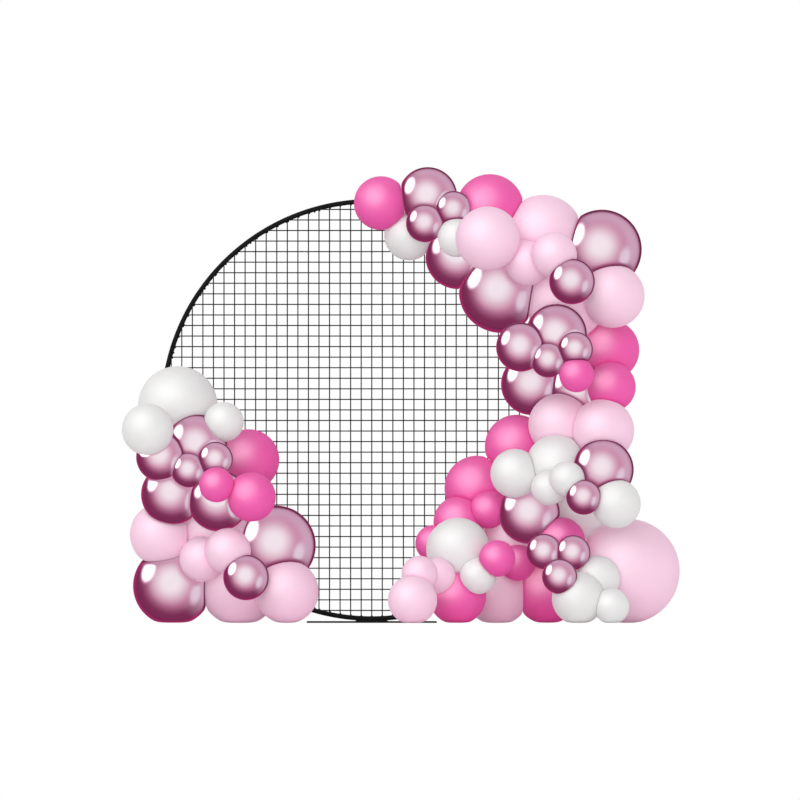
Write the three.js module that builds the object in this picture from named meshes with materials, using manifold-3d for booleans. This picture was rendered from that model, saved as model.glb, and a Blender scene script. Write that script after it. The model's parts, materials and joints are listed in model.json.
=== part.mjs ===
// A balloon garland tied to a round wire-mesh ring stand.
//
// The stand is a welded ring of steel tube, closed with a square wire mesh, upright on a flat base
// plate. Two swags of round balloons are tied to its front: one climbs the left side from the floor,
// the other falls from the top down the right side and runs out along the floor.
//
// Millimetres, +Z up. The front faces -Y. The origin is under the middle of the base plate, in the
// plane of the ring.

import * as THREE from 'three';
import { mergeVertices } from 'three/addons/utils/BufferGeometryUtils.js';
import Module from 'manifold-3d';

const wasm = await Module();
wasm.setup();

// ---------------------------------------------------------------- driving dimensions

const FIT = 0.3; // gap between two pieces that touch

const PLATE = { width: 555, depth: 400, thick: 8, corner: 20 };

const RING_D = 1800; // outside diameter of the ring
const TUBE_D = 19;
const RING_SEGMENTS = 48;
const TUBE_SIDES = 6;

const MESH_PITCH = 135; // every third wire of the mesh
const MESH_COUNT = 13; // wires each way, the middle one through the ring's centre
const WIRE_D = 4;
const WIRE_SIDES = 3;
const HOOP_D = 6; // the wire hoop that all mesh wires end on

// Balloon radii of the two repeated clusters.
const SMALL = 75;
const MEDIUM = 105;
const LARGE = 131;

// How tied balloons press into each other. At a squeeze of 1 two round balloons only just touch.
const SQUEEZE = 0.74; // where the meeting edge shows from the front
const HIDDEN_SQUEEZE = 0.7; // where nearer balloons cover it
const OUTLINE_LOSS = 0.2; // the most that a neighbour may flatten a balloon's outline, of its radius
const MESH_SQUEEZE = 0.88; // against the wire mesh
const FLOOR_SQUEEZE = 0.93; // on the floor
const DEPTH_STEP = 2;
const KNOT_REACH = 0.9; // two balloons closer than this can be knotted together
const BALLOON_SIDES = 8;
const BALLOON_BANDS = 5;
const OUTLINE_SAMPLES = 48;

const tubeR = TUBE_D / 2;
const ringCentreR = RING_D / 2 - tubeR;
const ringCentreZ = PLATE.thick + FIT + RING_D / 2;
const hoopCentreR = ringCentreR - tubeR - FIT - HOOP_D / 2;
const layerY = WIRE_D / 2 + FIT / 2; // each mesh layer's distance from the plane of the ring
const meshFrontY = -(layerY + WIRE_D / 2 + FIT);

// ---------------------------------------------------------------- materials

const STEEL = new THREE.MeshStandardMaterial({
  name: 'black_powder_coat', color: 0x151415, roughness: 0.5, metalness: 0.6,
});

const FINISHES = {
  hot_pink: new THREE.MeshStandardMaterial({
    name: 'hot_pink_latex', color: 0xe04fa0, roughness: 0.25, metalness: 0,
  }),
  pale_pink: new THREE.MeshStandardMaterial({
    name: 'pale_pink_latex', color: 0xf3cfe2, roughness: 0.3, metalness: 0,
  }),
  white: new THREE.MeshStandardMaterial({
    name: 'pearl_white_latex', color: 0xf5f5f4, roughness: 0.3, metalness: 0,
  }),
  chrome: new THREE.MeshStandardMaterial({
    name: 'mauve_chrome_latex', color: 0xc27aa6, roughness: 0.15, metalness: 0.9,
  }),
};

// ---------------------------------------------------------------- solids

// The closed solid of a three.js geometry.
function solid(geometry) {
  geometry.deleteAttribute('normal');
  geometry.deleteAttribute('uv');
  const merged = mergeVertices(geometry, 1e-4);
  return new wasm.Manifold(new wasm.Mesh({
    numProp: 3,
    vertProperties: new Float32Array(merged.attributes.position.array),
    triVerts: new Uint32Array(merged.index.array),
  }));
}

// A named mesh of a solid, as the scene graph holds it.
function named(name, body, material) {
  const made = body.getMesh();
  const geometry = new THREE.BufferGeometry();
  geometry.setAttribute('position', new THREE.BufferAttribute(made.vertProperties, 3));
  geometry.setIndex(new THREE.BufferAttribute(made.triVerts, 1));
  geometry.computeVertexNormals();
  const mesh = new THREE.Mesh(geometry, material);
  mesh.name = name;
  return mesh;
}

// ---------------------------------------------------------------- the stand

// A hoop of round section standing in the plane of the ring.
function hoop(centreR, sectionR, sides) {
  return new THREE.TorusGeometry(centreR, sectionR, sides, RING_SEGMENTS)
    .rotateX(Math.PI / 2)
    .translate(0, 0, ringCentreZ);
}

// Distance from the ring's centre to the faceted hoop's centre line, in a given direction.
function hoopReach(angle) {
  const half = Math.PI / RING_SEGMENTS;
  const fromVertex = ((angle % (2 * half)) + 2 * half) % (2 * half);
  return hoopCentreR * Math.cos(half) / Math.cos(fromVertex - half);
}

// Half the length of a mesh wire that runs at a given distance from the ring's centre.
function halfWire(offset) {
  let half = Math.sqrt(hoopCentreR ** 2 - offset ** 2);
  for (let pass = 0; pass < 8; pass++) {
    half = Math.sqrt(hoopReach(Math.atan2(half, offset)) ** 2 - offset ** 2);
  }
  return half;
}

// The wire mesh: upright wires in front, level wires behind, all ending on one hoop.
function wireMesh() {
  const pieces = [solid(hoop(hoopCentreR, HOOP_D / 2, WIRE_SIDES))];
  const middle = (MESH_COUNT - 1) / 2;
  for (let n = -middle; n <= middle; n++) {
    const offset = n * MESH_PITCH;
    const length = 2 * halfWire(offset);
    const wire = new THREE.CylinderGeometry(WIRE_D / 2, WIRE_D / 2, length, WIRE_SIDES);
    const upright = wire.clone().rotateX(Math.PI / 2).translate(offset, -layerY, ringCentreZ);
    const level = wire.rotateZ(Math.PI / 2).translate(0, layerY, ringCentreZ + offset);
    pieces.push(solid(upright), solid(level));
  }
  return wasm.Manifold.union(pieces);
}

// The base plate, flat on the floor, with rounded corners.
function basePlate() {
  const { width, depth, thick, corner } = PLATE;
  const outline = new THREE.Shape();
  const x = width / 2 - corner;
  const y = depth / 2 - corner;
  outline.absarc(x, y, corner, 0, Math.PI / 2);
  outline.absarc(-x, y, corner, Math.PI / 2, Math.PI);
  outline.absarc(-x, -y, corner, Math.PI, 1.5 * Math.PI);
  outline.absarc(x, -y, corner, 1.5 * Math.PI, 2 * Math.PI);
  return solid(new THREE.ExtrudeGeometry(outline, { depth: thick, bevelEnabled: false, curveSegments: 3 }));
}

// ---------------------------------------------------------------- where the balloons go

// One balloon, seen from the front: x and z of its centre, and its radius.
function balloon(zone, finish, x, z, r) {
  return { zone, finish, x, z: Math.max(z, FLOOR_SQUEEZE * r), r };
}

// Two clusters of nine balloons come back several times. They are listed from back to front, about
// the small balloon in their middle: finish, x, z, radius.
const SOFT_CLUSTER = [
  ['chrome', -240, -35, LARGE],
  ['pale_pink', -95, 153, LARGE],
  ['pale_pink', -22, -70, LARGE],
  ['chrome', 98, 105, LARGE],
  ['pale_pink', -276, 141, MEDIUM],
  ['pale_pink', 133, -47, MEDIUM],
  ['pale_pink', -143, 61, SMALL],
  ['pale_pink', -59, 87, SMALL],
  ['chrome', 0, 0, SMALL],
];

const METAL_CLUSTER = [
  ['chrome', -186, -150, LARGE],
  ['chrome', 13, -177, LARGE],
  ['chrome', -81, 62, LARGE],
  ['hot_pink', 142, -3, LARGE],
  ['chrome', -233, 9, MEDIUM],
  ['hot_pink', 153, -161, MEDIUM],
  ['chrome', -115, -46, SMALL],
  ['chrome', 0, 0, SMALL],
  ['hot_pink', 5, -109, SMALL],
];

// A cluster set with its middle at x, z, enlarged, turned counter-clockwise in degrees and recoloured.
function cluster(zone, recipe, x, z, { grow = 1, turn = 0, recolour = {} } = {}) {
  const cos = grow * Math.cos(THREE.MathUtils.degToRad(turn));
  const sin = grow * Math.sin(THREE.MathUtils.degToRad(turn));
  return recipe.map(([finish, dx, dz, r]) => balloon(
    zone, recolour[finish] ?? finish, x + dx * cos - dz * sin, z + dx * sin + dz * cos, r * grow,
  ));
}

// Every balloon, from the back to the front of the garland.
const balloons = [
  balloon('upper_left', 'white', -827, 925, 170),
  ...cluster('lower_left', SOFT_CLUSTER, -536, 194, { grow: 1.3 }),
  ...cluster('upper_left', METAL_CLUSTER, -667, 698),
  balloon('upper_left', 'white', -956, 825, 110),
  balloon('upper_left', 'white', -631, 857, 85),

  balloon('top', 'hot_pink', 504, 1769, 145),
  balloon('top', 'white', 159, 1652, 106),
  balloon('top', 'chrome', 239, 1818, 126),
  balloon('top', 'chrome', 368, 1562, 139),
  balloon('top', 'chrome', 227, 1704, 81),
  balloon('top', 'chrome', 349, 1762, 80),
  balloon('top', 'white', 363, 1643, 83),
  balloon('top', 'hot_pink', 39, 1790, 115),
  ...cluster('upper_right', SOFT_CLUSTER, 854, 1456, { grow: 1.3 }),
  ...cluster('right', METAL_CLUSTER, 868, 1167),

  balloon('lower_right', 'pale_pink', 610, 355, 138),
  balloon('middle', 'hot_pink', 617, 753, 135),
  balloon('middle', 'pale_pink', 801, 845, 133),
  balloon('middle', 'pale_pink', 984, 820, 135),
  balloon('middle', 'hot_pink', 448, 575, 138),
  balloon('lower_right', 'hot_pink', 373, 431, 110),
  balloon('lower_right', 'hot_pink', 497, 482, 80),
  ...cluster('white', SOFT_CLUSTER, 904, 536, { turn: 8, recolour: { pale_pink: 'white' } }),
  balloon('lower_right', 'hot_pink', 264, 340, 78),
  balloon('lower_right', 'white', 368, 313, 136),
  balloon('lower_right', 'pale_pink', 1090, 221, 223),
  balloon('lower_right', 'hot_pink', 749, 136, 141),
  balloon('lower_right', 'pale_pink', 535, 127, 140),
  balloon('lower_right', 'hot_pink', 365, 110, 123),
  balloon('lower_right', 'pale_pink', 280, 200, 77),
  balloon('lower_right', 'pale_pink', 204, 209, 77),
  balloon('lower_right', 'pale_pink', 174, 86, 105),
  balloon('lower_right', 'white', 453, 200, 78),
  balloon('lower_right', 'hot_pink', 621, 257, 78),
  balloon('lower_right', 'hot_pink', 535, 275, 78),
  balloon('lower_right', 'hot_pink', 805, 345, 106),
  balloon('lower_right', 'white', 966, 191, 96),
  balloon('lower_right', 'chrome', 734, 305, 75),
  balloon('lower_right', 'chrome', 858, 299, 75),
  balloon('lower_right', 'white', 880, 78, 112),
  balloon('lower_right', 'white', 1023, 55, 76),
  balloon('lower_right', 'chrome', 801, 198, 75),
];

// ---------------------------------------------------------------- how deep the balloons sit

// The furthest back that a balloon sits: against the wire mesh or its plane, and clear of the tube.
function againstStand({ x, z, r }) {
  const y = meshFrontY - MESH_SQUEEZE * r;
  const fromCentre = Math.hypot(x, z - ringCentreZ);
  const clear = (r + tubeR + FIT) ** 2 - (fromCentre - ringCentreR) ** 2;
  return clear > 0 ? Math.min(y, -Math.sqrt(clear)) : y;
}

// Whether other balloons cover the whole edge that a balloon shows against the one behind it.
function edgeIsHidden(front, back) {
  const covers = (disc, x, z) => Math.hypot(disc.x - x, disc.z - z) < disc.r;
  const nearer = balloons.slice(balloons.indexOf(back) + 1).filter((disc) => disc !== front);
  for (let n = 0; n < OUTLINE_SAMPLES; n++) {
    const angle = 2 * Math.PI * n / OUTLINE_SAMPLES;
    const x = front.x + front.r * Math.cos(angle);
    const z = front.z + front.r * Math.sin(angle);
    if (covers(back, x, z) && !nearer.some((disc) => covers(disc, x, z))) {
      return false;
    }
  }
  return true;
}

// Distance from a balloon's centre to the flat where it presses on another one.
function flatDistance(balloonR, otherR, apart) {
  return (apart ** 2 + balloonR ** 2 - otherR ** 2) / (2 * apart);
}

// How far the front balloon reaches towards the one behind it, seen from the front.
function outlineReach(front, back, across, step) {
  const apart = Math.hypot(across, step);
  const flat = flatDistance(front.r, back.r, apart);
  const flatR = Math.sqrt(Math.max(0, front.r ** 2 - flat ** 2));
  return (flat * across + flatR * step) / apart;
}

// How far in front of one balloon the next one has to sit, when their centres are so far apart across.
function stepForward(front, back, across, hidden) {
  const touching = front.r + back.r;
  const closest = (hidden ? HIDDEN_SQUEEZE : SQUEEZE) * touching;
  for (let step = 0; ; step += DEPTH_STEP) {
    const apart = Math.hypot(across, step);
    const keepsOutline = hidden || outlineReach(front, back, across, step) >= (1 - OUTLINE_LOSS) * front.r;
    if (apart >= touching || (apart >= closest && keepsOutline)) {
      return step;
    }
  }
}

balloons.forEach((front, place) => {
  front.y = againstStand(front);
  for (const back of balloons.slice(0, place)) {
    const across = Math.hypot(front.x - back.x, front.z - back.z);
    const step = stepForward(front, back, across, edgeIsHidden(front, back));
    if (step > 0) {
      front.y = Math.min(front.y, back.y - step);
    }
  }
});

// ---------------------------------------------------------------- which balloons are knotted together

// How far apart two balloons are, 1 where round ones would only just touch.
function closeness(one, other) {
  return Math.hypot(one.x - other.x, one.y - other.y, one.z - other.z) / (one.r + other.r);
}

// From the front to the back, each balloon is knotted to the nearest free one of its colour that it
// presses on. The two make one piece.
for (const one of [...balloons].reverse()) {
  if (!one.partner) {
    const free = balloons
      .filter((other) => other !== one && !other.partner && other.finish === one.finish)
      .filter((other) => closeness(one, other) < KNOT_REACH)
      .sort((a, b) => closeness(one, a) - closeness(one, b));
    if (free.length > 0) {
      one.partner = free[0];
      free[0].partner = one;
    }
  }
}

// ---------------------------------------------------------------- balloon solids

// A balloon as a round solid, cut flat where it lies on the floor, leans on the mesh or presses on a
// balloon of another piece.
function balloonSolid(self) {
  const { x, y, z, r } = self;
  let body = solid(new THREE.SphereGeometry(r, BALLOON_SIDES, BALLOON_BANDS)).translate(x, y, z);
  body = body.trimByPlane([0, 0, 1], 0);
  if (Math.hypot(x, z - ringCentreZ) < ringCentreR) {
    body = body.trimByPlane([0, -1, 0], -meshFrontY);
  }
  for (const other of balloons) {
    const apart = closeness(self, other) * (r + other.r);
    if (other !== self && other !== self.partner && closeness(self, other) < 1) {
      const inward = [(x - other.x) / apart, (y - other.y) / apart, (z - other.z) / apart];
      const centre = inward[0] * x + inward[1] * y + inward[2] * z;
      body = body.trimByPlane(inward, centre - flatDistance(r, other.r, apart) + FIT / 2);
    }
  }
  return body;
}

// The pieces of the garland: each balloon alone, or the pair that it is knotted in.
function garlandPieces() {
  const counts = {};
  const pieces = [];
  for (const one of balloons) {
    const { zone, finish, partner } = one;
    if (!partner || balloons.indexOf(one) < balloons.indexOf(partner)) {
      const stem = `${zone}_${finish}_${partner ? 'pair' : 'balloon'}`;
      counts[stem] = (counts[stem] ?? 0) + 1;
      const body = partner ? balloonSolid(one).add(balloonSolid(partner)) : balloonSolid(one);
      pieces.push(named(`${stem}_${counts[stem]}`, body, FINISHES[finish]));
    }
  }
  return pieces;
}

// ---------------------------------------------------------------- the whole part

const group = new THREE.Group();
group.add(named('base_plate', basePlate(), STEEL));
group.add(named('ring_tube', solid(hoop(ringCentreR, tubeR, TUBE_SIDES)), STEEL));
group.add(named('wire_mesh', wireMesh(), STEEL));
group.add(...garlandPieces());

export default group;
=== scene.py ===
# %% [markdown]
# # A balloon garland on a round mesh ring
# A decorator ties latex balloons to a welded ring stand in two swags. The stand is bare steel with a
# black powder coat, and the balloons come in four finishes: hot pink, pale pink, pearl white and
# mauve chrome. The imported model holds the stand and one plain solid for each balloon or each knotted
# pair. Here every solid gets the surface and the finish of the real thing, in its own place.

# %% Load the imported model
import json
import re

import bpy
import numpy as np
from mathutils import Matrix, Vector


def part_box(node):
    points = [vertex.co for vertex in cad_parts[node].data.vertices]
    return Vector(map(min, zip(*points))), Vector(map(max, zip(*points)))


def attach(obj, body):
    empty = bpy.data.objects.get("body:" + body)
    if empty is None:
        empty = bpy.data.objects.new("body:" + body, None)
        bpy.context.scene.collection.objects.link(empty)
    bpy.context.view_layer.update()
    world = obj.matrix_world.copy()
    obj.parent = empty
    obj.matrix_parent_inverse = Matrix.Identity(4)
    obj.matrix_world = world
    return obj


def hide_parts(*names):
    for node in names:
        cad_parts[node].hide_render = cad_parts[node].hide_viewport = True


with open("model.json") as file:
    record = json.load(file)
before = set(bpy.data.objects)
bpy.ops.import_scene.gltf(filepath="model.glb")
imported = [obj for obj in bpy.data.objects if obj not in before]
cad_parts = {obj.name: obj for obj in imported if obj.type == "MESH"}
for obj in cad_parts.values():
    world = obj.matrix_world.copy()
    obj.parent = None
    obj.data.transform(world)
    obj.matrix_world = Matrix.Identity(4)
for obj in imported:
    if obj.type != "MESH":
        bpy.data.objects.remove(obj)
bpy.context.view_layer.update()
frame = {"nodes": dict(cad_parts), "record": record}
slot_of = {part["node"]: part["material_slot"] for part in frame["record"]["subparts"]}

# %% [markdown]
# ## Surfaces from grids of points
# Nearly every piece here is a sheet of points with rows and columns, closed round on itself. Blender
# has ready-made primitives, but a grid worked out with numpy can follow any formula, so one small
# helper joins neighbouring points into faces, and another turns points and faces into a smooth mesh.
# A third dresses a finished piece: its material, the body it rides on and the solids it stands for.


# %% Grid helpers
def grid_faces(rows, columns, wrap_rows=False):
    """Faces between neighbours of a rows x columns grid whose columns close round. Point (r, c) has
    the number r * columns + c."""
    r = np.arange(rows if wrap_rows else rows - 1)[:, None]
    c = np.arange(columns)[None, :]
    below, right = (r + 1) % rows, (c + 1) % columns
    corners = [r * columns + c, r * columns + right, below * columns + right, below * columns + c]
    return np.stack(corners, -1).reshape(-1, 4)


def mesh_piece(name, points, faces, smooth=True):
    """A new mesh object with its place in its mesh. faces is a list of arrays of corner numbers."""
    mesh = bpy.data.meshes.new(name)
    mesh.from_pydata(points.tolist(), [], [f for some in faces for f in some.tolist()])
    mesh.polygons.foreach_set("use_smooth", np.full(len(mesh.polygons), smooth))
    mesh.update()
    piece = bpy.data.objects.new(name, mesh)
    bpy.context.scene.collection.objects.link(piece)
    return piece


def dress(piece, nodes, material):
    """Gives a piece its material, lets it ride on the stand's body and hides the solids it stands for."""
    piece.data.materials.clear()
    piece.data.materials.append(material)
    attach(piece, "root")
    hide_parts(*nodes)
    piece.visible_glossy = False
    return piece


# %% [markdown]
# ## Materials from nodes
# A finish is a small network: a shader with its steady values set on its own sockets, and noise that
# varies only what really varies over the surface. Two helpers keep the networks short to read.


# %% Material helpers
def new_finish(name, **sockets):
    """A material with one Principled shader, its sockets set by name with _ for a space."""
    material = bpy.data.materials.new(name)
    material.use_nodes = True
    nodes = material.node_tree.nodes
    shader = nodes["Principled BSDF"]
    for socket, value in sockets.items():
        shader.inputs[socket.replace("_", " ")].default_value = value
    return material, nodes, material.node_tree.links, shader


def noise(nodes, links, scale, detail=2.0):
    """Noise over the object's own metres. Its output lies around one half."""
    place = nodes.new("ShaderNodeTexCoord")
    texture = nodes.new("ShaderNodeTexNoise")
    texture.inputs["Scale"].default_value = scale
    texture.inputs["Detail"].default_value = detail
    links.new(place.outputs["Object"], texture.inputs["Vector"])
    return texture.outputs["Fac"]


def span(nodes, links, source, low, high, from_low=0.3, from_high=0.7):
    """Stretches a value between two bounds to another range."""
    stretch = nodes.new("ShaderNodeMapRange")
    stretch.inputs["From Min"].default_value = from_low
    stretch.inputs["From Max"].default_value = from_high
    stretch.inputs["To Min"].default_value = low
    stretch.inputs["To Max"].default_value = high
    links.new(source, stretch.inputs["Value"])
    return stretch.outputs["Result"]


def blend_colours(nodes, links, amount, first, second):
    """A colour between two, each a tuple or another node's output."""
    mix = nodes.new("ShaderNodeMix")
    mix.data_type = "RGBA"
    links.new(amount, mix.inputs["Factor"])
    for socket, colour in (("A", first), ("B", second)):
        target = [s for s in mix.inputs if s.name == socket and s.type == "RGBA"][0]
        if isinstance(colour, tuple):
            target.default_value = (*colour, 1)
        else:
            links.new(colour, target)
    return [s for s in mix.outputs if s.type == "RGBA"][0]


def bump(nodes, links, height, shader, distance, strength=1.0):
    """Small relief that only the light sees."""
    node = nodes.new("ShaderNodeBump")
    node.inputs["Distance"].default_value = distance
    node.inputs["Strength"].default_value = strength
    links.new(height, node.inputs["Height"])
    links.new(node.outputs["Normal"], shader.inputs["Normal"])


# %% [markdown]
# ## Black powder coat
# The welded stand is sprayed with powder and baked, which leaves a satin black skin with a fine
# orange peel. A fine noise makes the peel as bump, and a wider one lets the gloss wander a little.

# %% Powder coat
powder, nodes, links, shader = new_finish("stand_powder_coat", Specular_IOR_Level=0.12)
DEEP_BLACK, SOFT_BLACK = (0.0015, 0.0015, 0.002), (0.005, 0.005, 0.006)
coat_colour = blend_colours(nodes, links, noise(nodes, links, 9), DEEP_BLACK, SOFT_BLACK)
links.new(coat_colour, shader.inputs["Base Color"])
links.new(span(nodes, links, noise(nodes, links, 30), 0.5, 0.7), shader.inputs["Roughness"])
bump(nodes, links, noise(nodes, links, 900, 4), shader, 0.0002)
print("finish:", powder.name)

# %% [markdown]
# ## The ring tube
# The ring is a steel tube rolled into a circle and butt-welded. A circle carried round a circle
# gives it exactly, so two angles are enough: one round the ring and one round the tube.

# %% Ring tube
ring_low, ring_high = (np.array(corner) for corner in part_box("ring_tube"))
ring_centre = (ring_low + ring_high) / 2
TUBE_RADIUS = 0.0102
tube_path = (ring_high[0] - ring_low[0]) / 2 - TUBE_RADIUS


def torus(centre, major, minor, around, across):
    """Points of a tube of radius minor round a circle of radius major in the X-Z plane: at angles u
    and v the point is centre + (major + minor cos v) (cos u, 0, sin u) + minor sin v (0, 1, 0)."""
    u = np.linspace(0, 2 * np.pi, around, endpoint=False)[:, None]
    v = np.linspace(0, 2 * np.pi, across, endpoint=False)[None, :]
    reach = major + minor * np.cos(v)
    points = np.stack([reach * np.cos(u), minor * np.sin(v) + 0 * u, reach * np.sin(u)], -1)
    return centre + points.reshape(-1, 3), grid_faces(around, across, wrap_rows=True)


points, faces = torus(ring_centre, tube_path, TUBE_RADIUS, 288, 20)
steel = [dress(mesh_piece("ring_tube_steel", points, [faces]), ["ring_tube"], powder)]
print("ring centre:", ring_centre, "path radius:", round(tube_path, 4))

# %% [markdown]
# ## The wire mesh
# The mesh is straight 5 mm wire laid in two layers and spot-welded wherever two wires cross. Each
# wire ends on the tube. A wire is a short tube of few sides, and all wires of one layer are one
# array sum. Every crossing gets a small flattened bead of weld, of few faces because there are
# more than a thousand of them.

# %% Wires and weld beads
WIRE_RADIUS = 0.0025
PITCH = 0.045
WIRE_SIDES = 8
WIRES_PER_SIDE = 19
layer_shift = WIRE_RADIUS + 0.00015
offsets = np.arange(-WIRES_PER_SIDE, WIRES_PER_SIDE + 1) * PITCH
half_lengths = np.sqrt(tube_path**2 - offsets**2)


def straight_wires(starts, ends, radius, sides):
    """Closed round bars: a ring of points at both ends of each bar, on circles square to it."""
    along = ends - starts
    along /= np.linalg.norm(along, axis=1, keepdims=True)
    across = np.cross(along, [0.0, 1.0, 0.0])
    v = np.linspace(0, 2 * np.pi, sides, endpoint=False)
    depth = np.array([0.0, 1.0, 0.0])
    circle = radius * (np.cos(v)[None, :, None] * across[:, None, :] + np.sin(v)[None, :, None] * depth)
    points = np.stack([starts[:, None] + circle, ends[:, None] + circle], 1)
    first = np.arange(len(starts))[:, None, None] * 2 * sides
    faces = first + grid_faces(2, sides)[None]
    caps = first + np.stack([np.arange(sides)[::-1], np.arange(sides) + sides])[None]
    return points.reshape(-1, 3), faces.reshape(-1, 4), caps.reshape(-1, sides)


def beads(places, stretch, rings=3, sides=6):
    """Small closed ellipsoids: at polar angle t and turn v the point is place + stretch *
    (sin t cos v, cos t, sin t sin v)."""
    t = np.linspace(0, np.pi, rings + 2)[1:-1, None]
    v = np.linspace(0, 2 * np.pi, sides, endpoint=False)[None, :]
    body = np.stack([np.sin(t) * np.cos(v), np.cos(t) + 0 * v, np.sin(t) * np.sin(v)], -1).reshape(-1, 3)
    shape = np.vstack([body, [[0, 1, 0], [0, -1, 0]]]) * stretch
    count = len(shape)
    turn = np.arange(sides)
    after = (turn + 1) % sides
    top, bottom, last = count - 2, count - 1, (rings - 1) * sides
    tops = np.stack([np.full(sides, top), after, turn], 1)
    bottoms = np.stack([np.full(sides, bottom), last + turn, last + after], 1)
    first = np.arange(len(places))[:, None, None] * count
    quads = (first + grid_faces(rings, sides)[None]).reshape(-1, 4)
    fans = (first + np.vstack([tops, bottoms])[None]).reshape(-1, 3)
    return (places[:, None] + shape[None]).reshape(-1, 3), quads, fans


flat = np.zeros_like(offsets)
upright = [np.stack([offsets, flat - layer_shift, side * half_lengths], 1) for side in (-1, 1)]
level = [np.stack([side * half_lengths, flat + layer_shift, offsets], 1) for side in (-1, 1)]
wire_ends = [ring_centre + np.vstack([a, b]) for a, b in zip(upright, level)]
wires, wire_faces, wire_caps = straight_wires(wire_ends[0], wire_ends[1], WIRE_RADIUS, WIRE_SIDES)

cross_x, cross_z = np.meshgrid(offsets, offsets)
inside = np.hypot(cross_x, cross_z) < tube_path - 2 * TUBE_RADIUS
crossings = ring_centre + np.stack([cross_x[inside], 0 * cross_x[inside], cross_z[inside]], 1)
CROSSING_BEAD, END_BEAD = np.array([0.0036, 0.0040, 0.0036]), np.array([0.0048, 0.0040, 0.0048])
drops, drop_quads, drop_fans = beads(crossings, CROSSING_BEAD)
ends = np.vstack(wire_ends)
inward = (ring_centre - ends) * [1, 0, 1]
ends = ends + inward / np.linalg.norm(inward, axis=1, keepdims=True) * TUBE_RADIUS
tacks, tack_quads, tack_fans = beads(ends, END_BEAD, rings=4, sides=8)

steps = np.cumsum([0, len(wires), len(drops)])
all_points = np.vstack([wires, drops, tacks])
all_faces = [
    wire_faces,
    wire_caps,
    drop_quads + steps[1],
    drop_fans + steps[1],
    tack_quads + steps[2],
    tack_fans + steps[2],
]
steel.append(dress(mesh_piece("wire_mesh_steel", all_points, all_faces), ["wire_mesh"], powder))
print("wires:", len(wire_ends[0]), "weld beads:", len(crossings), "tacks:", len(ends))

# %% [markdown]
# ## The base plate
# A flat plate keeps the ring upright. It is cut with rounded corners and its edges are dressed with a
# grinder, so no edge is sharp. A rounded rectangle carried up an edge profile gives the sides, and
# the profile's first and last rows close into the flat faces. Two runs of weld hold the ring's foot.

# %% Base plate and foot weld
plate_low, plate_high = (np.array(corner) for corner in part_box("base_plate"))
plate_middle, plate_half = (plate_low + plate_high) / 2, (plate_high - plate_low) / 2
CORNER, EDGE = 0.02, 0.0015
# The edge from the underside to the top: how far in, in edge widths, and how high, in half heights.
EDGE_PROFILE = [(4, -1), (1, -1), (0.3, -0.8), (0, -0.5), (0, 0.5), (0.3, 0.8), (1, 1), (4, 1)]
FOOT_HALF, BEAD_THICK, BEAD_SIDES, RIPPLE_PITCH = 0.07, 0.0042, 10, 0.007


def rounded_rectangle(half_x, half_y, corner, per_corner=8):
    """An outline of four quarter circles of radius corner joined by straight sides."""
    turn = np.linspace(0, np.pi / 2, per_corner)
    quarter = np.arange(4)[:, None]
    angle = quarter * np.pi / 2 + turn[None, :]
    sign_x = np.where((quarter == 0) | (quarter == 3), 1.0, -1.0)
    sign_y = np.where(quarter < 2, 1.0, -1.0)
    x = sign_x * (half_x - corner) + corner * np.cos(angle)
    y = sign_y * (half_y - corner) + corner * np.sin(angle)
    return np.stack([x.ravel(), y.ravel()], 1)


outline_rows = []
for depth, height in EDGE_PROFILE:
    inset = depth * EDGE
    outline = rounded_rectangle(plate_half[0] - inset, plate_half[1] - inset, CORNER - 0.5 * inset)
    outline_rows.append(np.column_stack([outline, np.full(len(outline), height * plate_half[2])]))
columns = len(outline_rows[0])
plate_points = plate_middle + np.vstack(outline_rows)
rim = np.arange(columns)
plate_caps = np.stack([rim[::-1], rim + (len(outline_rows) - 1) * columns])

foot = np.linspace(-FOOT_HALF, FOOT_HALF, 41)
ripple = 1 + 0.12 * np.cos(foot * 2 * np.pi / RIPPLE_PITCH)
taper = np.sqrt(np.clip(1 - (foot / (FOOT_HALF + 0.0015)) ** 2, 0.02, 1))
thick = (BEAD_THICK * ripple * taper)[:, None]
v = np.linspace(0, 2 * np.pi, BEAD_SIDES, endpoint=False)[None, :]
bead_rows = []
for side in (-1, 1):
    y = side * 0.0062 + thick * np.cos(v)
    z = plate_high[2] + 0.0008 + thick * np.sin(v)
    bead = np.stack([foot[:, None] + 0 * v, y, z], -1)
    bead_rows.append(bead[::side].reshape(-1, 3))
bead_faces = grid_faces(len(foot), BEAD_SIDES)[:, ::-1]
caps = np.stack([np.arange(BEAD_SIDES), (np.arange(BEAD_SIDES) + (len(foot) - 1) * BEAD_SIDES)[::-1]])
first, second = len(plate_points), len(plate_points) + len(bead_rows[0])
plate_faces = [grid_faces(len(outline_rows), columns), plate_caps]
plate_faces += [bead_faces + first, caps + first, bead_faces + second, caps + second]
plate = mesh_piece("base_plate_steel", np.vstack([plate_points, *bead_rows]), plate_faces)
steel.append(dress(plate, ["base_plate"], powder))
print("plate:", plate_half * 2)

# %% [markdown]
# ## Where the balloons are
# Each plain solid is a ball of few sides that is cut flat where it presses on a neighbour. Its uncut
# corners still lie on the balloon's true sphere. Any four corners of two faces that share an edge
# fix one sphere, so every such edge gives a guess, and the guess that the most corners agree with
# is the balloon. A knotted pair gives two. This way the skins follow the solids by themselves.

# %% Find each balloon's sphere
AGREE = 2e-5
LEAST_RADIUS, GREATEST_RADIUS = 0.05, 0.3


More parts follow.
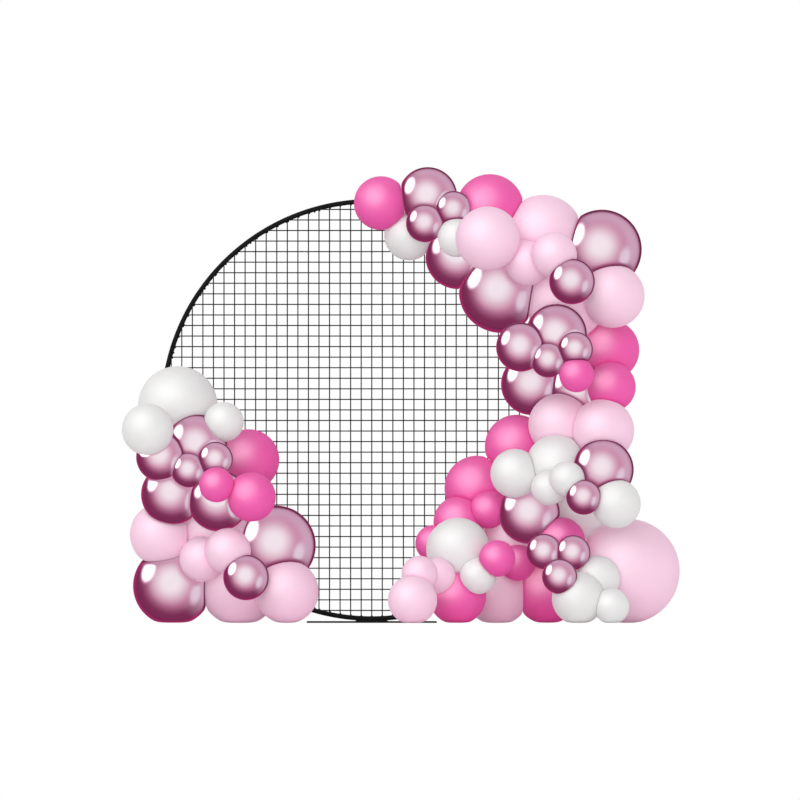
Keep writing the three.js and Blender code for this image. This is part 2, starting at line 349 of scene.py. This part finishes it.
def corners_and_guesses(node):
    """The distinct corners of a solid, and the spheres through the four corners of neighbouring
    faces: |p|^2 = 2 c.p + k holds for every corner p of a sphere with the centre c."""
    mesh = frame["nodes"][node].data
    place = np.empty(len(mesh.vertices) * 3)
    mesh.vertices.foreach_get("co", place)
    corner_of = np.empty(len(mesh.loops), int)
    mesh.loops.foreach_get("vertex_index", corner_of)
    corners, merged = np.unique(place.reshape(-1, 3), axis=0, return_inverse=True)
    faces = merged.reshape(-1)[corner_of].reshape(-1, 3)
    edges = np.vstack([faces[:, [0, 1]], faces[:, [1, 2]], faces[:, [2, 0]]])
    tips = np.concatenate([faces[:, 2], faces[:, 0], faces[:, 1]])
    edges = np.sort(edges, 1)
    order = np.lexsort((edges[:, 1], edges[:, 0]))
    edges, tips = edges[order], tips[order]
    shared = np.all(edges[1:] == edges[:-1], axis=1)
    four = np.column_stack([edges[:-1][shared], tips[:-1][shared], tips[1:][shared]])
    middle = corners.mean(0)
    p = corners[four] - middle
    system = np.concatenate([2 * p, np.ones((len(p), 4, 1))], 2)
    sound = np.abs(np.linalg.det(system)) > 1e-7
    answer = np.linalg.solve(system[sound], (p[sound] ** 2).sum(2)[..., None])[..., 0]
    centres = answer[:, :3]
    radii = np.sqrt(np.maximum((centres**2).sum(1) + answer[:, 3], 0))
    return corners, centres + middle, radii


def spheres_in(node, count):
    """The spheres that the most corners agree with, each then fitted to all of its corners."""
    corners, centres, radii = corners_and_guesses(node)
    free, found = np.full(len(corners), True), []
    for _ in range(count):
        gaps = np.abs(np.linalg.norm(corners[None] - centres[:, None], axis=2) - radii[:, None])
        votes = ((gaps < AGREE) & free[None]).sum(1)
        votes[(radii > GREATEST_RADIUS) | (radii < LEAST_RADIUS)] = 0
        best = votes.argmax()
        mine = (gaps[best] < AGREE) & free
        middle = corners[mine].mean(0)
        p = corners[mine] - middle
        system = np.column_stack([2 * p, np.ones(len(p))])
        fit = np.linalg.lstsq(system, (p**2).sum(1), rcond=None)[0]
        found.append((fit[:3] + middle, np.sqrt(fit[3] + fit[:3] @ fit[:3]), int(votes[best])))
        free &= ~mine
    return found


balloon_nodes = [node for node in slot_of if re.search(r"_(balloon|pair)_\d+$", node)]
owners, centre_list, radius_list, votes = [], [], [], []
for node in balloon_nodes:
    for centre, radius, agreed in spheres_in(node, 2 if "_pair_" in node else 1):
        owners.append(node)
        centre_list.append(centre)
        radius_list.append(radius)
        votes.append(agreed)
centres, radii = np.array(centre_list), np.array(radius_list)
print("balloons:", len(radii), "radii:", radii.min().round(4), "to", radii.max().round(4))
print("fewest corners that agree on one balloon:", min(votes))

# %% [markdown]
# ## Where balloons press on each other
# Two soft balloons that press together share a flat patch. Both spheres meet in a circle, and the
# plane of that circle is the patch. The floor, the wire mesh and the ring's tube press the same way.
# So every balloon gets a short list of walls, each with an outward direction and a distance from the
# balloon's centre. A simulation would find the same patches, slower and less evenly.

# %% Walls around each balloon
mesh_front = ring_centre[1] - layer_shift - WIRE_RADIUS - 0.0003
RESTS = 0.0004
count = len(radii)
apart = centres[None] - centres[:, None]
distance = np.linalg.norm(apart, axis=2) + np.eye(count)
touching = (distance < radii[:, None] + radii[None]) & ~np.eye(count, dtype=bool)
patch = (distance**2 + radii[:, None] ** 2 - radii[None] ** 2) / (2 * distance) - RESTS / 2
from_ring = np.hypot(centres[:, 0] - ring_centre[0], centres[:, 2] - ring_centre[2])
nearest_of_tube = ring_centre + (centres - ring_centre) * [1, 0, 1] * (tube_path / from_ring)[:, None]
toward_tube = nearest_of_tube - centres
tube_gap = np.linalg.norm(toward_tube, axis=1) - radii - TUBE_RADIUS


def walls_of(one):
    """Outward directions and distances of the planes that balloon number one presses on."""
    others = np.flatnonzero(touching[one])
    directions = [apart[one, n] / distance[one, n] for n in others]
    distances = [patch[one, n] for n in others]
    directions.append(np.array([0.0, 0.0, -1.0]))
    distances.append(centres[one, 2] - RESTS)
    tube_reach = np.linalg.norm(toward_tube[one])
    directions.append(toward_tube[one] / tube_reach)
    distances.append(tube_reach - TUBE_RADIUS - RESTS)
    if from_ring[one] < tube_path:
        directions.append(np.array([0.0, 1.0, 0.0]))
        distances.append(mesh_front - centres[one, 1])
    near = np.array(distances) < radii[one]
    return np.array(directions)[near], np.array(distances)[near]


print("contacts:", int(touching.sum() / 2), "least room to the tube, mm:", round(tube_gap.min() * 1000, 2))

# %% [markdown]
# ## Which way the knots point
# A balloon ends in a neck that is pulled thin, knotted, and spreads again into its rolled lip. The
# decorator turns the necks in, so none shows from the front. For every balloon many directions are
# tried, spread evenly like seeds on a sunflower, and the one with the most free room around its knot
# is kept, as long as its own balloon or a nearer one hides it from the front.

# %% Neck directions
TRIES = 600
KNOT_RADIUS, KNOT_FROM, KNOT_TO = 0.012, 0.02, 0.045  # for a balloon of 130 mm radius
MESH_ROOM = 0.009


def sunflower(n):
    """n directions spread evenly: equal steps in height, and the golden angle between turns."""
    k = np.arange(n) + 0.5
    height, turn = 1 - 2 * k / n, k * np.pi * (1 + 5**0.5)
    flat_part = np.sqrt(1 - height**2)
    return np.stack([flat_part * np.cos(turn), flat_part * np.sin(turn), height], 1)


def knot_size(radius):
    """A larger balloon has a longer and thicker neck: it grows with the square root of its size."""
    return np.sqrt(radius / 0.13)


def neck_direction(one):
    """The freest hidden direction for the neck of balloon number one, and its room in metres."""
    tries = sunflower(TRIES)
    radius, centre, size = radii[one], centres[one], knot_size(radii[one])
    directions, distances = walls_of(one)
    room, hidden = np.full(TRIES, 1.0), np.full(TRIES, True)
    thick = KNOT_RADIUS * size
    for share in (1.02, 1.0 + KNOT_FROM / radius, 1.0 + KNOT_TO / radius):
        place = centre + tries * radius * share
        gaps = np.linalg.norm(place[:, None] - centres[None], axis=2) - radii[None] - thick
        gaps[:, one] = 1.0
        room = np.minimum(room, gaps.min(1))
        room = np.minimum(room, place[:, 2] - thick)
        from_middle = np.linalg.norm((place - ring_centre)[:, [0, 2]], axis=1)
        mesh_room = mesh_front - MESH_ROOM - thick - place[:, 1]
        room = np.where(from_middle < tube_path + 0.04, np.minimum(room, mesh_room), room)
        offset = place[:, None] - centres[None]
        behind = (np.linalg.norm(offset[..., [0, 2]], axis=2) < radii[None] - thick) & (offset[..., 1] > 0)
        hidden &= behind.any(1)
    if len(distances):
        room = np.minimum(room, (distances[None] - tries @ directions.T * radius).min(1) + 0.004)
    score = np.minimum(room, 0.03) - np.where(hidden, 0, 1.0) + 0.004 * tries[:, 1]
    best = score.argmax()
    return tries[best], room[best], bool(hidden[best])


necks = [neck_direction(n) for n in range(count)]
tight = sum(room < 0 for _, room, _ in necks)
seen = sum(not hidden for _, _, hidden in necks)
print("necks with too little room:", tight, "necks that show from the front:", seen)

# %% [markdown]
# ## The skin of a balloon
# The skin is a grid of rings round the neck's own axis, from the crown to the knot. Over the body a
# point lies at the balloon's radius, or at the nearest wall if that is closer, and the two blend
# softly, as stretched latex does. Towards the neck the body draws out a little and gathers in fine
# pleats. The neck, the knot and the rolled lip are a profile carried round the same axis. A cloth
# simulation could press the balloons together too, but the formula is exact and always the same.

# %% Body, neck, knot and lip
COLUMNS = 72
BODY_ROWS = 46
SOFT = 0.075
# Neck, knot, tail, and the rolled lip turned in: millimetres along the axis and out from it, for a
# balloon of 130 mm radius.
NECK_PROFILE = np.array(
    [(0.0, 8.2), (2.4, 6.4), (4.8, 5.2), (6.4, 5.4), (7.6, 7.4), (9.2, 8.9), (11.4, 9.2), (13.4, 8.2)]
    + [(14.6, 6.2), (16.0, 4.8), (18.6, 5.4), (21.6, 7.2), (24.6, 9.2), (26.6, 10.6), (27.8, 11.6)]
    + [(28.8, 11.4), (29.0, 10.4), (28.2, 9.4), (25.0, 7.2), (22.0, 4.6)]
)
NECK_STARTS = 0.72  # share of the way from the crown to the neck
DRAWN_OUT, PLEATS, PLEAT_DEPTH, FOLDS, FOLD_DEPTH = 0.055, 12, 0.006, 5, 0.10


def soft_least(a, b, width):
    """The lesser of a and b, rounded where they lie within width of each other."""
    meet = np.maximum(width - np.abs(a - b), 0)
    return np.minimum(a, b) - meet**2 / (4 * np.maximum(width, 1e-9))


def body_reach(one, rays):
    """How far the skin lies from the centre along each ray: the radius, or the distance to a wall,
    wall / (ray . outward), whichever is less. A shallow patch has a tighter edge than a deep one."""
    radius = radii[one]
    reach = np.full(rays.shape[:-1], radius)
    for direction, wall in zip(*walls_of(one)):
        facing = rays @ direction
        far = np.where(facing > 0.05, wall / np.maximum(facing, 0.05), 9.0)
        reach = soft_least(reach, far, radius * min(SOFT, 1.5 * (1 - wall / radius)))
    return reach


def balloon_skin(one):
    """Rings of points round the neck axis: a body row at polar angle t from the crown has its points
    at centre + reach * (cos t * crown + sin t * side), and the neck rows follow the profile."""
    neck, radius, size = necks[one][0], radii[one], knot_size(radii[one]) / 1000
    side = np.cross(neck, [0.31, 0.87, 0.38])
    side /= np.linalg.norm(side)
    other_side = np.cross(neck, side)
    start = np.arcsin(NECK_PROFILE[0, 1] * size / radius)
    t = np.linspace(0, np.pi - start, BODY_ROWS + 1)[1:, None, None]
    v = np.linspace(0, 2 * np.pi, COLUMNS, endpoint=False)
    around = np.cos(v)[:, None] * side + np.sin(v)[:, None] * other_side
    rays = np.sin(t) * around[None] - np.cos(t) * neck
    near_neck = np.clip((t[..., 0] / np.pi - NECK_STARTS) / (1 - NECK_STARTS), 0, 1)
    pleats = 1 + PLEAT_DEPTH * near_neck**2 * np.cos(PLEATS * v + one)[None] * np.sin(t[..., 0])
    reach = body_reach(one, rays) * (1 + DRAWN_OUT * near_neck**2) * pleats
    body = centres[one] + rays * reach[..., None]
    crown = centres[one] - neck * body_reach(one, -neck[None])[0]
    foot_of_neck = (body[-1] - centres[one]).mean(0) @ neck
    profile = NECK_PROFILE[1:] * size
    folds = 1 + FOLD_DEPTH * np.cos(FOLDS * v + one)[None] * np.linspace(0.3, 1, len(profile))[:, None]
    out = profile[:, 1, None] * folds
    tail = centres[one] + (foot_of_neck + profile[:, 0, None, None]) * neck + out[..., None] * around[None]
    end = centres[one] + (foot_of_neck + profile[-1, 0] - 2.0 * size) * neck
    rows = BODY_ROWS + len(profile)
    points = np.vstack([[crown], body.reshape(-1, 3), tail.reshape(-1, 3), [end]])
    gathered = np.repeat(near_neck.ravel() ** 2, COLUMNS)
    depth = np.concatenate([[0], gathered, np.ones(len(profile) * COLUMNS), [1]])
    turn = np.arange(COLUMNS)
    after = (turn + 1) % COLUMNS
    last = 1 + (rows - 1) * COLUMNS
    quads = grid_faces(rows, COLUMNS)[:, ::-1] + 1
    crown_fan = np.stack([np.zeros(COLUMNS, int), 1 + turn, 1 + after], 1)
    lip_fan = np.stack([np.full(COLUMNS, len(points) - 1), last + after, last + turn], 1)
    return points, quads, np.vstack([crown_fan, lip_fan]), depth


# %% [markdown]
# ## Latex and chrome latex
# Latex balloons are pigmented rubber: a matt to satin skin over deep colour, which grows deeper where
# the rubber is thick near the neck. The body is stretched, so its pigment looks faintly cloudy. The
# chrome balloons have a metallic layer that mirrors the room, with a plum tint where the skin turns
# away from the eye. Each skin carries a value that grows from body to lip, and the colour follows it.


# %% Balloon finishes
def latex(name, thin, thick, rough, **sockets):
    """Satin rubber whose colour runs from thin, stretched skin to thick skin at the neck."""
    material, nodes, links, shader = new_finish(name, **sockets)
    neck_value = nodes.new("ShaderNodeAttribute")
    neck_value.attribute_name = "toward_neck"
    cloud = span(nodes, links, noise(nodes, links, 7, 3), 0.0, 0.10)
    total = nodes.new("ShaderNodeMath")
    total.use_clamp = True
    links.new(neck_value.outputs["Fac"], total.inputs[0])
    links.new(cloud, total.inputs[1])
    colour = blend_colours(nodes, links, total.outputs[0], thin, thick)
    links.new(colour, shader.inputs["Base Color"])
    gloss = span(nodes, links, noise(nodes, links, 22), rough - 0.03, rough + 0.04)
    links.new(gloss, shader.inputs["Roughness"])
    bump(nodes, links, noise(nodes, links, 260, 3), shader, 0.00025, 0.5)
    return material


finishes = {
    "hot_pink_latex": latex("hot_pink_balloon_rubber", (0.78, 0.076, 0.365), (0.60, 0.02, 0.22), 0.53),
    "pale_pink_latex": latex("pale_pink_balloon_rubber", (0.85, 0.57, 0.71), (0.76, 0.38, 0.56), 0.6),
    "pearl_white_latex": latex("pearl_white_balloon_rubber", (0.71, 0.71, 0.705), (0.64, 0.63, 0.60), 0.62),
    "mauve_chrome_latex": latex(
        "mauve_chrome_balloon_rubber",
        (0.85, 0.61, 0.74),
        (0.60, 0.32, 0.47),
        0.13,
        Metallic=1.0,
        Specular_Tint=(0.55, 0.18, 0.36, 1.0),
    ),
}
print("finishes:", list(finishes))

# %% [markdown]
# ## The garland
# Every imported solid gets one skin. A knotted pair is two balloons in one piece, as the decorator ties
# them, so their grids are joined into one mesh. The value that grows towards the neck is stored on
# the points, where the rubber's material reads it.

# %% Make the balloons
garland = {}
for node in balloon_nodes:
    members = [n for n, owner in enumerate(owners) if owner == node]
    parts, shift = [], 0
    for one in members:
        points, quads, fans, depth = balloon_skin(one)
        parts.append((points, quads + shift, fans + shift, depth))
        shift += len(points)
    skin = mesh_piece(node + "_skin", np.vstack([p[0] for p in parts]), [f for p in parts for f in p[1:3]])
    value = skin.data.attributes.new("toward_neck", "FLOAT", "POINT")
    value.data.foreach_set("value", np.concatenate([p[3] for p in parts]).astype(np.float32))
    garland[node] = dress(skin, [node], finishes[slot_of[node]])
triangles = sum(len(f.vertices) - 2 for skin in garland.values() for f in skin.data.polygons)
print("skins:", len(garland), "triangles:", triangles)

# %% [markdown]
# ## The studio
# A flat view with no perspective keeps every balloon a true circle, so the camera is orthographic and
# looks straight at the ring. A long lens would come close, but its far edges still lean. The floor is
# plain and pale and reaches far past the view, so no angle shows its end.

# %% Camera and floor
FRAME_WIDTH = 3.4115
camera_data = bpy.data.cameras.new("front_view")
camera_data.type = "ORTHO"
camera_data.ortho_scale = FRAME_WIDTH
camera = bpy.data.objects.new("front_view", camera_data)
camera.location = (0.1205, -8.0, 0.9506)
camera.rotation_euler = (np.pi / 2, 0, 0)
bpy.context.scene.collection.objects.link(camera)
bpy.context.scene.camera = camera

floor_paint, nodes, links, shader = new_finish("studio_floor", Roughness=0.9)
shader.inputs["Base Color"].default_value = (0.95, 0.95, 0.95, 1)
FLOOR_HALF = 60.0
floor_points = FLOOR_HALF * np.array([[-1.0, -1, 0], [1, -1, 0], [1, 1, 0], [-1, 1, 0]])
studio_floor = mesh_piece("studio_floor", floor_points, [np.array([[0, 1, 2, 3]])], smooth=False)
studio_floor.data.materials.append(floor_paint)
studio_floor.visible_glossy = False
print("camera width:", FRAME_WIDTH)

# %% [markdown]
# ## The lamps
# Real studios light rubber and mirror finishes apart, because a lamp that flatters one leaves a hard
# glare on the other. Light linking does the same here: each lamp names the pieces that it lights.
# The key lamp casts the shadows, two fills lift the low right side, and a broad lamp that only adds
# gloss leaves the soft pale spot at the upper left of every rubber balloon.

# %% Lamps
rubber = [skin for node, skin in garland.items() if slot_of[node] != "mauve_chrome_latex"]


def lit_group(name, pieces):
    """A collection that a lamp can name as the pieces it lights."""
    group = bpy.data.collections.new(name)
    for piece in pieces:
        group.objects.link(piece)
    return group


rubber_only = lit_group("rubber_only", rubber)
not_chrome = lit_group("not_chrome", [studio_floor, *steel, *rubber])


def lamp(name, toward, strength, spread_deg, lit, shadows=True):
    """A far lamp that shines from the direction toward, as wide as spread_deg, on the lit pieces."""
    data = bpy.data.lights.new(name, "SUN")
    data.energy, data.angle, data.use_shadow = strength, np.radians(spread_deg), shadows
    made = bpy.data.objects.new(name, data)
    x, y, z = np.array(toward) / np.linalg.norm(toward)
    made.rotation_euler = (np.arccos(z), 0, np.arctan2(y, x) + np.pi / 2)
    bpy.context.scene.collection.objects.link(made)
    made.light_linking.receiver_collection = lit
    return made


lamp("key_upper_left", (-0.46, -0.69, 0.55), 0.35, 40, not_chrome)
lamp("front_fill", (-0.1, -1.0, 0.12), 0.35, 60, not_chrome, shadows=False)
lamp("low_right_fill", (0.6, -0.5, -0.6), 0.5, 60, rubber_only, shadows=False)
soft_gloss = lamp("soft_gloss", (-0.44, -0.72, 0.53), 12.0, 80, rubber_only, shadows=False)
soft_gloss.visible_diffuse = False

# %% [markdown]
# ## The painted sky
# A chrome ball shows its whole surroundings, squeezed into one disc. So the surroundings are painted
# by where they appear on that disc: pale in the middle, rose round it, plum below and at the left,
# and a thin dark edge. Photographed sky pictures exist for this, but a few soft ovals give a cleaner
# reflection, and every ball shows the same one. All other rays see plain white light.

# %% The painted sky
world = bpy.data.worlds.new("studio")
bpy.context.scene.world = world
world.use_nodes = True
nodes, links = world.node_tree.nodes, world.node_tree.links
nodes.clear()


def math(kind, *values, clamp=False):
    """One Math node on numbers or other nodes' outputs."""
    node = nodes.new("ShaderNodeMath")
    node.operation, node.use_clamp = kind, clamp
    for socket, value in zip(node.inputs, values):
        if isinstance(value, (int, float)):
            socket.default_value = value
        else:
            links.new(value, socket)
    return node.outputs[0]


def hypotenuse(a, b):
    """The square root of a^2 + b^2."""
    return math("SQRT", math("ADD", math("MULTIPLY", a, a), math("MULTIPLY", b, b)))


def soft_step(value, low, high):
    """0 below low, 1 above high, and a smooth rise between them."""
    node = nodes.new("ShaderNodeMapRange")
    node.interpolation_type = "SMOOTHSTEP"
    links.new(value, node.inputs["Value"])
    node.inputs["From Min"].default_value, node.inputs["From Max"].default_value = low, high
    return node.outputs["Result"]


# A ball seen from the front mirrors direction d at the point (d - view) / |d - view| of its disc.
look = nodes.new("ShaderNodeTexCoord")
split = nodes.new("ShaderNodeSeparateXYZ")
links.new(look.outputs["Generated"], split.inputs[0])
toward_x, toward_y, toward_z = split.outputs
back = math("SUBTRACT", toward_y, 1.0)
across_view = hypotenuse( toward_x, toward_z)
half_way = hypotenuse( across_view, back)
disc_x, disc_z = math("DIVIDE", toward_x, half_way), math("DIVIDE", toward_z, half_way)


def oval(x, z, half_wide, half_high, lean_deg, inner, outer):
    """1 inside an oval on the disc, leaning right by lean_deg, and 0 outside, soft between."""
    c, s = float(np.cos(np.radians(lean_deg))), float(np.sin(np.radians(lean_deg)))
    dx, dz = math("SUBTRACT", disc_x, x), math("SUBTRACT", disc_z, z)
    across = math("DIVIDE", math("SUBTRACT", math("MULTIPLY", dx, c), math("MULTIPLY", dz, s)), half_wide)
    along = math("DIVIDE", math("ADD", math("MULTIPLY", dx, s), math("MULTIPLY", dz, c)), half_high)
    return math("SUBTRACT", 1.0, soft_step(hypotenuse(across, along), inner, outer))


PALE, ROSE, PLUM = (1.07, 1.29, 1.14), (0.68, 0.36, 0.49), (0.24, 0.048, 0.127)
UPPER, BEHIND = (0.73, 0.63, 0.69), (0.75, 0.61, 0.70)
LOW_EDGE, HIGH_EDGE = (0.66, 0.095, 0.32), (0.20, 0.037, 0.10)
SOFTBOX, WEAK_BOX = (3.4, 3.6, 3.4), (0.88, 0.95, 0.94)
diagonal = math("ADD", math("MULTIPLY", disc_x, 0.7), math("MULTIPLY", disc_z, 0.7))
outer = blend_colours(nodes, links, soft_step(diagonal, -0.30, 0.45), PLUM, UPPER)
sky = blend_colours(nodes, links, oval(0.0, 0.08, 1.0, 1.0, 0, 0.44, 0.84), outer, ROSE)
sky = blend_colours(nodes, links, oval(-0.05, 0.10, 1.0, 1.0, 0, 0.14, 0.66), sky, PALE)
rim = hypotenuse(disc_x, disc_z)
edge = blend_colours(nodes, links, soft_step(diagonal, -0.1, 0.4), LOW_EDGE, HIGH_EDGE)
sky = blend_colours(nodes, links, soft_step(rim, 0.91, 0.97), sky, edge)
sky = blend_colours(nodes, links, soft_step(rim, 0.98, 0.998), sky, BEHIND)
sky = blend_colours(nodes, links, oval(-0.61, 0.375, 0.165, 0.32, 20, 0.45, 1.1), sky, SOFTBOX)
sky = blend_colours(nodes, links, oval(0.57, -0.20, 0.16, 0.32, 15, 0.4, 1.15), sky, WEAK_BOX)

# %% Which ray sees what
WHITE, ROOM_LIGHT = (1, 1, 1, 1), 0.90
ray = nodes.new("ShaderNodeLightPath")
room_light, seen_white, mirrored = (nodes.new("ShaderNodeBackground") for _ in range(3))
room_light.inputs["Color"].default_value = seen_white.inputs["Color"].default_value = WHITE
room_light.inputs["Strength"].default_value = ROOM_LIGHT
links.new(sky, mirrored.inputs["Color"])
pick_glossy, pick_camera = nodes.new("ShaderNodeMixShader"), nodes.new("ShaderNodeMixShader")
output = nodes.new("ShaderNodeOutputWorld")
links.new(ray.outputs["Is Glossy Ray"], pick_glossy.inputs[0])
links.new(room_light.outputs[0], pick_glossy.inputs[1])
links.new(mirrored.outputs[0], pick_glossy.inputs[2])
links.new(ray.outputs["Is Camera Ray"], pick_camera.inputs[0])
links.new(pick_glossy.outputs[0], pick_camera.inputs[1])
links.new(seen_white.outputs[0], pick_camera.inputs[2])
links.new(pick_camera.outputs[0], output.inputs["Surface"])
bpy.context.scene.view_settings.view_transform = "Standard"
